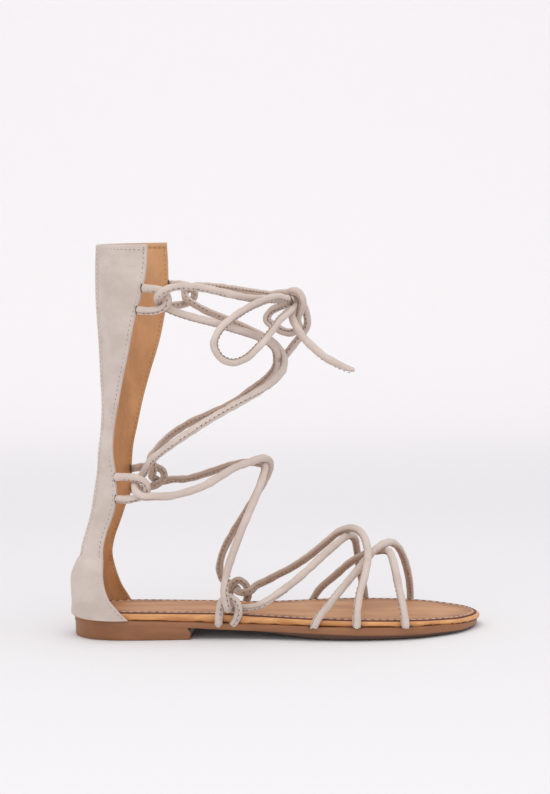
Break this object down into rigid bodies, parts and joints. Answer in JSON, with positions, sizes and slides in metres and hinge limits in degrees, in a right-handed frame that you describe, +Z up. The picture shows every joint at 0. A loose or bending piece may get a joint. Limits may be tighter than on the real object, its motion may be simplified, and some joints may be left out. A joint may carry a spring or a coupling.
{
  "type": "gladiator sandal",
  "caption": "Flat gladiator sandal with a stiff open-front heel shaft, leather footbed, crossed round straps and a long lace tied in a bow.",
  "frame": {"origin": "on the floor under the middle of the shoe: the centre of its bounding box's base, measured without the bow", "axes": "+X to the toe, +Y to the foot's inner side, +Z up; the sole stands on z = 0"},
  "size_m": [0.2549, 0.1066, 0.242],
  "materials": {
    "suede": "soft greige suede nap",
    "footbed_leather": "smooth pink-tan leather, lightly streaked",
    "wrap_leather": "thin light tan leather strip, slightly glossy",
    "moulded_brown": "smooth moulded brown, satin"
  },
  "bodies": {
    "root": {"heel_block": "moulded_brown", "outsole": "moulded_brown", "wrapped_footbed": "wrap_leather", "footbed_cover": "footbed_leather", "heel_shaft": "suede", "toe_straps": "suede", "lace": "suede", "arch_loop_outer": "suede", "arch_loop_inner": "suede", "mid_loop_outer": "suede", "mid_loop_inner": "suede", "top_loop_outer": "suede", "top_loop_inner": "suede", "bow_knot": "suede", "bow_loop_outer": "suede", "bow_loop_inner": "suede", "lace_end_outer": "suede", "lace_end_inner": "suede"}
  },
  "joints": []
}
